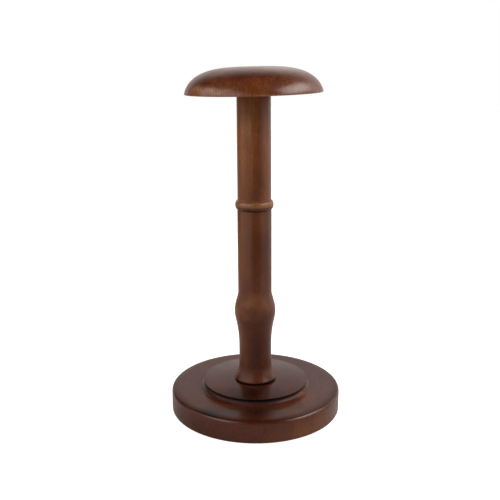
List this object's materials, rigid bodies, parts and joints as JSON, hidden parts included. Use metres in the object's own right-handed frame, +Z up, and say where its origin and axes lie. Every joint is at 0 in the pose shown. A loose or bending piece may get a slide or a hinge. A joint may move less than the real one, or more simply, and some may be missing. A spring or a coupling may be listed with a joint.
{
  "type": "milliner's hat stand",
  "caption": "Turned wooden table stand for a hat: a domed cap on a straight post with a bead, a vase-shaped swelling and a flared foot, on a stepped round base. Cap and upper post unscrew.",
  "frame": {"origin": "on the surface the stand rests on, under the middle of the base", "axes": "+Z up the base's axis, -Y towards the picture's viewer, +X to the viewer's right"},
  "size_m": [0.16, 0.16, 0.3211],
  "materials": {
    "stained_wood": "satin lacquer over red-brown stain",
    "zinc_plate": "bright zinc plate",
    "brass_plate": "satin",
    "dark_felt": "pressed felt"
  },
  "bodies": {
    "stand": {"base_disc": "stained_wood", "plinth_disc": "stained_wood", "lower_post": "stained_wood", "post_stud": "zinc_plate", "base_bolt": "zinc_plate", "base_washer": "zinc_plate", "base_insert": "brass_plate", "foot_pad_1": "dark_felt", "foot_pad_2": "dark_felt", "foot_pad_3": "dark_felt", "foot_pad_4": "dark_felt"},
    "post_carriage": {"post_insert": "brass_plate"},
    "upper_post": {"upper_post": "stained_wood", "cap_stud": "zinc_plate"},
    "cap_carriage": {"cap_insert": "brass_plate"},
    "cap": {"cap": "stained_wood"}
  },
  "joints": [
    {"name": "post_rise", "type": "slide", "parent": "stand", "child": "post_carriage", "axis": [-0.0078, 0, 1], "range_m": [0, 0.0125]},
    {"name": "post_turn", "type": "hinge", "parent": "post_carriage", "child": "upper_post", "pos_m": [-0.00128, 0, 0.1946], "axis": [-0.0078, 0, 1], "range_deg": [0, 3600]},
    {"name": "cap_rise", "type": "slide", "parent": "upper_post", "child": "cap_carriage", "axis": [-0.0078, 0, 1], "range_m": [0, 0.0125]},
    {"name": "cap_turn", "type": "hinge", "parent": "cap_carriage", "child": "cap", "pos_m": [-0.00209, 0, 0.29799], "axis": [-0.0078, 0, 1], "range_deg": [0, 3600]}
  ],
  "couplings": [
    {"joint": "post_rise", "follows": "post_turn", "m_per_rad": 0.00019894},
    {"joint": "cap_rise", "follows": "cap_turn", "m_per_rad": 0.00019894}
  ]
}
